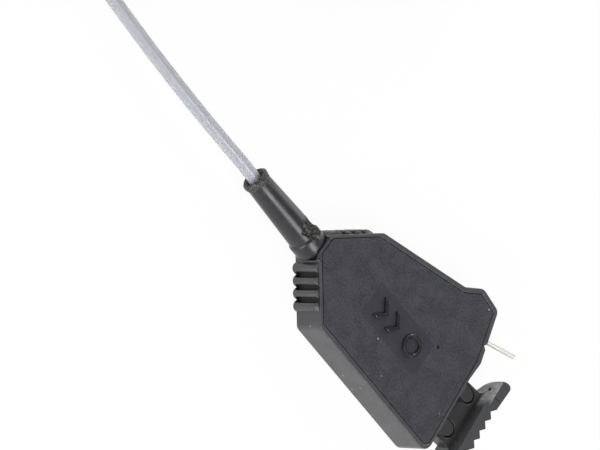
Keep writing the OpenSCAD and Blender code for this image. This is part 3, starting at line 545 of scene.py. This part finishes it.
taper = [(s, taper_r + taper_gain * (s - taper_from) / (collar_at - taper_from))
         for s in (taper_from, 4.5, 8, 11, 12)]
fine_rings = ceil((collar_at - fine_from) / fine_step)
taper += [(fine_from + fine_step * i, fine_r + fine_gain * i / fine_rings) for i in range(fine_rings)]
lip = [(0.5, 1.42), (0.2, 1.65), (-0.1, 1.9), (-0.32, 2.1), (-0.4, 2.25), (-0.36, 2.42), (-0.2, 2.58),
       (0.1, 2.68), (0.45, 2.7), (0.75, 2.64), (1, 2.54)]
collar = [(collar_at, 3.05), (collar_at + 0.15, 3.18), (collar_at + 0.4, collar_r - 0.03),
          (collar_at + 0.6, collar_r), (17, collar_r), (17.5, collar_r), (18.85, collar_r),
          (19.1, collar_r - 0.08), (boot_len, collar_r - 0.25)]
held_end = [(boot_len, neck_r), (flange_from, neck_r), (flange_from, boot_flange_r),
            (flange_end, boot_flange_r), (flange_end, bore_r), (bore_from, bore_r)]
tear_mid, tear_half, tear_turn, tear_wide, tear_deep = 14.6, 2.1, radians(64), radians(50), 0.9
tear_margin, tear_steep, skin_r = 1.3, 4, 2.5
ragged, ragged_per_mm, pit_least, pit_more, pits_per_mm = 0.5, 1.1, 0.7, 0.8, 1.9
lip_end, lip_r, lip_torn, lip_shift, shift_per_mm = 1.1, 1.6, 0.7, 0.2, 1.3
swell, swell_per_mm, crease, crease_per_mm = 0.06, 1.6, 0.04, 3.5
bm = spun(lip + taper + collar + held_end, steps=144, ring=True)
crumbled = bm.verts.layers.float.new("torn")
for vert in bm.verts:
    s, reach = vert.co.x, vert.co.yz.length
    if abs(s - tear_mid) < tear_margin * tear_half and reach > skin_r:
        turn = atan2(vert.co.z, vert.co.y)
        out = ((s - tear_mid) / tear_half) ** 2 + ((turn - tear_turn) / tear_wide) ** 2
        share = min(max(tear_steep * (1 - out + ragged * noise.noise(vert.co * ragged_per_mm)), 0), 1)
        sunk = tear_deep * share * (pit_least + pit_more * noise.noise(vert.co * pits_per_mm))
        vert.co.y *= 1 - sunk / reach
        vert.co.z *= 1 - sunk / reach
        vert[crumbled] = share
    if s < lip_end and reach > lip_r:
        fat = (1 + swell * noise.noise(vert.co * swell_per_mm)
               + crease * noise.noise(vert.co * crease_per_mm))
        vert.co.y *= fat
        vert.co.z *= fat
        vert.co.x += lip_shift * noise.noise(vert.co * shift_per_mm)
        vert[crumbled] = lip_torn
plug_axis = Matrix.Rotation(-axis_turn, 4, "Z") @ Matrix.Translation((0, 0, axis_z))
bmesh.ops.transform(bm, verts=bm.verts,
                    matrix=to_metres @ plug_axis @ Matrix.Translation((-boot_reach, 0, 0)))
shown_piece("boot_sleeve", bm, "release", boot_finish, "boot", "cord_boot")
tin_finish = metal("tinned_ferrule", (0.75, 0.74, 0.7), roughness=0.3)
dressed(tin_finish, "cord_ferrule", "switch_ferrule")

# The cover plate is the same plastic with a fine spark-eroded grain, dropped into the rim and held by
# screws from behind. An insert in its mould leaves a faint outline, two arrows and a ring on its face.

insert_low, insert_high, insert_line, insert_rise = Vector((-13, -3)), Vector((5, 5)), 0.16, 0.1
insert_black, insert_shade, insert_smooth = (0.018, 0.018, 0.0255, 1), 0.6, 0.7
cover_finish = plastic("grained_cover", (0.019, 0.019, 0.026), roughness=0.5, grain_mm=0.42,
                       grain_depth=0.08, spread=0.95, dust=0.6, edge_highlight=0.3, cloudy=0.1)
turned = cover_finish.node("Mapping", {"Vector": cover_finish.place(), "Rotation": (0, 0, axis_turn)})
run, span = (cover_finish.one_way(turned, way) for way in "XY")
insert = ((run > insert_low.x) * (run < insert_high.x)
          * (span > insert_low.y) * (span < insert_high.y))
cover_finish.set(Specular_IOR_Level=0.4,
                 Base_Color=cover_finish.blend(insert_shade * insert, cover_finish.paint, insert_black),
                 Normal=cover_finish.bump(cover_finish.grain * (1 - insert_smooth * insert), 0.6, 0.12))
shown_piece("plug_cover_plate", moulded("plug_cover", edge_mm=0.12), "release", cover_finish, "cover",
            "plug_cover")

mark_finish = plastic("polished_marks", (0.014, 0.014, 0.015), roughness=0.2, grain_mm=0.3,
                      grain_depth=0.006)
mark_sink, mark_rise, mark_soft = 0.05, 0.55, 0.25
insert_size = insert_high - insert_low
insert_mid = (insert_low + insert_high) / 2
bm = bmesh.new()
bmesh.ops.create_grid(bm, x_segments=1, y_segments=1, size=0.5)
bmesh.ops.scale(bm, verts=bm.verts, vec=(insert_size.x, insert_size.y, 1))
inside = bm.faces[:]
bmesh.ops.inset_region(bm, faces=inside, thickness=insert_line, use_even_offset=True)
bmesh.ops.delete(bm, geom=inside, context="FACES")
rim = bmesh.ops.extrude_face_region(bm, geom=bm.faces[:])["geom"]
bmesh.ops.translate(bm, verts=[g for g in rim if isinstance(g, bmesh.types.BMVert)],
                    vec=(0, 0, mark_sink + insert_rise))
bmesh.ops.translate(bm, verts=bm.verts, vec=(insert_mid.x, insert_mid.y, -mark_sink))

arrow_from, arrow_half, arrow_deep, arrow_thick = (-10.5, -6.6), 2.2, 2.0, 1.2
mark_mid_y = 1.0
for tail in arrow_from:
    plan = [(tail, arrow_half), (tail + arrow_thick, arrow_half), (tail + arrow_thick + arrow_deep, 0),
            (tail + arrow_thick, -arrow_half), (tail, -arrow_half), (tail + arrow_deep, 0)]
    face = bm.faces.new([bm.verts.new((x, mark_mid_y + y, -mark_sink)) for x, y in plan])
    arrow = bmesh.ops.extrude_face_region(bm, geom=[face])["geom"]
    bmesh.ops.translate(bm, verts=[g for g in arrow if isinstance(g, bmesh.types.BMVert)],
                        vec=(0, 0, mark_sink + mark_rise))
    crown = [g for g in arrow if isinstance(g, bmesh.types.BMFace)]
    bmesh.ops.bevel(bm, geom=crown[0].edges[:], offset=mark_soft, segments=3, profile=0.5,
                    affect="EDGES", material=-1)
bmesh.ops.recalc_face_normals(bm, faces=bm.faces)

ring_at, ring_out, ring_in = (0.8, mark_mid_y), 2.3, 1.55
ring = spun([(-mark_sink, ring_out), (mark_rise - mark_soft, ring_out),
             (mark_rise, ring_out - mark_soft), (mark_rise, ring_in + mark_soft),
             (mark_rise - mark_soft, ring_in), (-mark_sink, ring_in)], steps=72, ring=True)
upright = Matrix.Rotation(-pi / 2, 4, "Y")
bmesh.ops.transform(ring, verts=ring.verts, matrix=Matrix.Translation((*ring_at, 0)) @ upright)
held = bpy.data.meshes.new("ring")
ring.to_mesh(held)
ring.free()
bm.from_mesh(held)
bpy.data.meshes.remove(held)
bmesh.ops.transform(bm, verts=bm.verts, matrix=to_metres @ Matrix.Rotation(-axis_turn, 4, "Z")
                    @ Matrix.Translation((0, 0, plug_t)))
shown_piece("mould_insert_marks", bm, "release", mark_finish, "cover")

# Three small cross-head steel screws, sunk into the back of the base, pull the cover down on its
# seat. Two more of the same kind hold the hand switch together.

screw_at, screw_turn = ((-15.5, -6.5), (-14, 9), (5.2, -8.2)), 0.6
head_r, head_h, head_sink, shank_r, shank_end = 1.5, 1.1, 0.2, 0.8, 5.6
thread_pitch, thread_deep, thread_flanks = 0.5, 0.14, 15
cross_half, cross_wide, cross_deep, cross_draw = 0.85, 0.2, 0.55, 0.7
on_top = 1e-5


def cross_screw():
    thread = [(-head_h - thread_pitch * i / 2, shank_r - thread_deep * (i % 2))
              for i in range(thread_flanks)]
    bm = spun([(0, 0), (0, head_r - 0.3), (-0.05, head_r - 0.15), (-0.2, head_r), (-head_h, head_r)]
              + thread + [(head_sink - shank_end, 0)], steps=48)
    for normal in (Vector((0, 1, 0)), Vector((0, 0, 1))):
        for cut in (-cross_half, -cross_wide, cross_wide, cross_half):
            top = [f for f in bm.faces if all(abs(v.co.x) < on_top for v in f.verts)]
            around = {g for f in top for g in [f, *f.edges, *f.verts]}
            bmesh.ops.bisect_plane(bm, geom=list(around), plane_co=cut * normal, plane_no=normal)
    cross = []
    for face in bm.faces:
        middle = face.calc_center_median()
        near, far = sorted((abs(middle.y), abs(middle.z)))
        if abs(middle.x) < on_top and near < cross_wide and far < cross_half:
            cross.append(face)
    sunk = bmesh.ops.extrude_face_region(bm, geom=cross)["geom"]
    low = [g for g in sunk if isinstance(g, bmesh.types.BMVert)]
    bmesh.ops.scale(bm, verts=low, vec=(1, cross_draw, cross_draw))
    bmesh.ops.translate(bm, verts=low, vec=(-cross_deep, 0, 0))
    mesh = bpy.data.meshes.new("cross_screw")
    bm.to_mesh(mesh)
    bm.free()
    return mesh


one_screw = cross_screw()


def screw_set(name, node, places, ground):
    bm = bmesh.new()
    for turn, (x, y) in enumerate(places):
        known = len(bm.verts)
        bm.from_mesh(one_screw)
        bm.verts.ensure_lookup_table()
        bmesh.ops.transform(bm, verts=bm.verts[known:], matrix=Matrix.Translation((x, y, head_sink))
                            @ Matrix.Rotation(screw_turn * turn, 4, "Z") @ Matrix.Rotation(pi / 2, 4, "Y"))
    bmesh.ops.transform(bm, verts=bm.verts, matrix=to_metres @ ground)
    shown_piece(name, bm, "release", steel_finish, "steel", node)


screw_set("plug_screw_set", "plug_screws", screw_at, Matrix.Rotation(-axis_turn, 4, "Z"))

# The hand switch is a small oblong box of the same black plastic, a base and a grained cover, with
# a dished button on top. The cord comes in through its own short ribbed boot.

switch_boot_len, switch_h, button_x = 8, 13, 29
switch_screw_at = ((9, -3.6), (9, 3.6))
switch_ground = Matrix.Translation(switch_at.xy.to_3d()) @ Matrix.Rotation(switch_angle, 4, "Z")
switch_box = switch_ground @ Matrix.Translation((switch_boot_len, 0, 0))
shown_piece("switch_lower_shell", moulded("switch_base", edge_mm=0.25), "release", shell_finish, "shell",
            "switch_base")
shown_piece("switch_upper_shell", moulded("switch_cover", edge_mm=0.35), "release", cover_finish, "cover",
            "switch_cover")
screw_set("switch_screw_set", "switch_screws", switch_screw_at, switch_box)

rib_count, rib_from, rib_pitch, rib_deep = 5, 1.2, 1.3, 0.3
mouth_r, boot_gain, boot_soft = 2.5, 0.9, 0.15
wall_from, wall_end, held_r = 9.25, 10.75, 3.3
rib_line = [(0, 1.5), (0, mouth_r - boot_soft), (boot_soft, mouth_r)]
for i in range(rib_count):
    start = rib_from + rib_pitch * i
    wide = mouth_r + boot_gain * start / switch_boot_len
    rib_line += [(start, wide), (start + 0.15, wide - rib_deep), (start + 0.45, wide - rib_deep),
                 (start + 0.6, wide + 0.06)]
rib_line += [(switch_boot_len - boot_soft, mouth_r + boot_gain),
             (switch_boot_len, mouth_r + boot_gain - boot_soft), (switch_boot_len, neck_r),
             (wall_from, neck_r), (wall_from, held_r), (wall_end, held_r), (wall_end, bore_r),
             (end_tuck, bore_r)]
bm = spun(rib_line, steps=64, ring=True)
bmesh.ops.transform(bm, verts=bm.verts, matrix=to_metres @ switch_ground
                    @ Matrix.Translation((0, 0, switch_mid_z)))
shown_piece("switch_boot_sleeve", bm, "release", boot_finish, "boot", "switch_boot")

button_r, button_top, stem_r, stem_low = 4, 15, 1.5, 6.3
flange_r, flange_low, flange_t = 4.9, 10.7, 1
dish_r, dish_deep, dish_rings, button_soft = 3.3, 0.5, 8, 0.4
dish = [(button_top - dish_deep * (1 - (i / dish_rings) ** 2), dish_r * i / dish_rings)
        for i in range(dish_rings + 1)]
rim_arc = [(button_top - button_soft * (1 - cos(a)), button_r - button_soft * (1 - sin(a)))
           for a in (radians(18 * i) for i in range(6))]
bm = spun(dish + rim_arc + [(flange_low + flange_t, button_r), (flange_low + flange_t, flange_r),
                            (flange_low, flange_r), (flange_low, stem_r), (stem_low, stem_r),
                            (stem_low, 0)], steps=72)
bmesh.ops.transform(bm, verts=bm.verts, matrix=to_metres @ switch_box
                    @ Matrix.Translation((button_x, 0, 0)) @ upright)
button_finish = plastic("satin_button", (0.12, 0.12, 0.13), roughness=0.33, grain_mm=0.2, grain_depth=0.01,
                        spread=0.1, dust=0.3)
shown_piece("dished_button", bm, "button", button_finish, "button", "release_button")
button_travel = 0.0015
squeezed("button_spring", Vector((0, 0, 1)), button_travel)

bezel_in, bezel_out, bezel_rise, bezel_sink = 4.25, 5.3, 0.35, 0.3
bm = spun([(-bezel_sink, bezel_out), (0, bezel_out), (bezel_rise * 0.8, bezel_out - 0.25),
           (bezel_rise, bezel_out - 0.45), (bezel_rise, bezel_in + 0.2),
           (bezel_rise * 0.8, bezel_in), (-bezel_sink, bezel_in)], steps=72, ring=True)
bmesh.ops.transform(bm, verts=bm.verts, matrix=to_metres @ switch_box
                    @ Matrix.Translation((button_x, 0, switch_h)) @ upright)
shown_piece("button_bezel", bm, "release", shell_finish, "cover")

brass_finish = metal("sprung_brass", (0.75, 0.58, 0.25), roughness=0.3)
dressed(brass_finish, "contact_bridge", "fixed_contact_left", "fixed_contact_right")
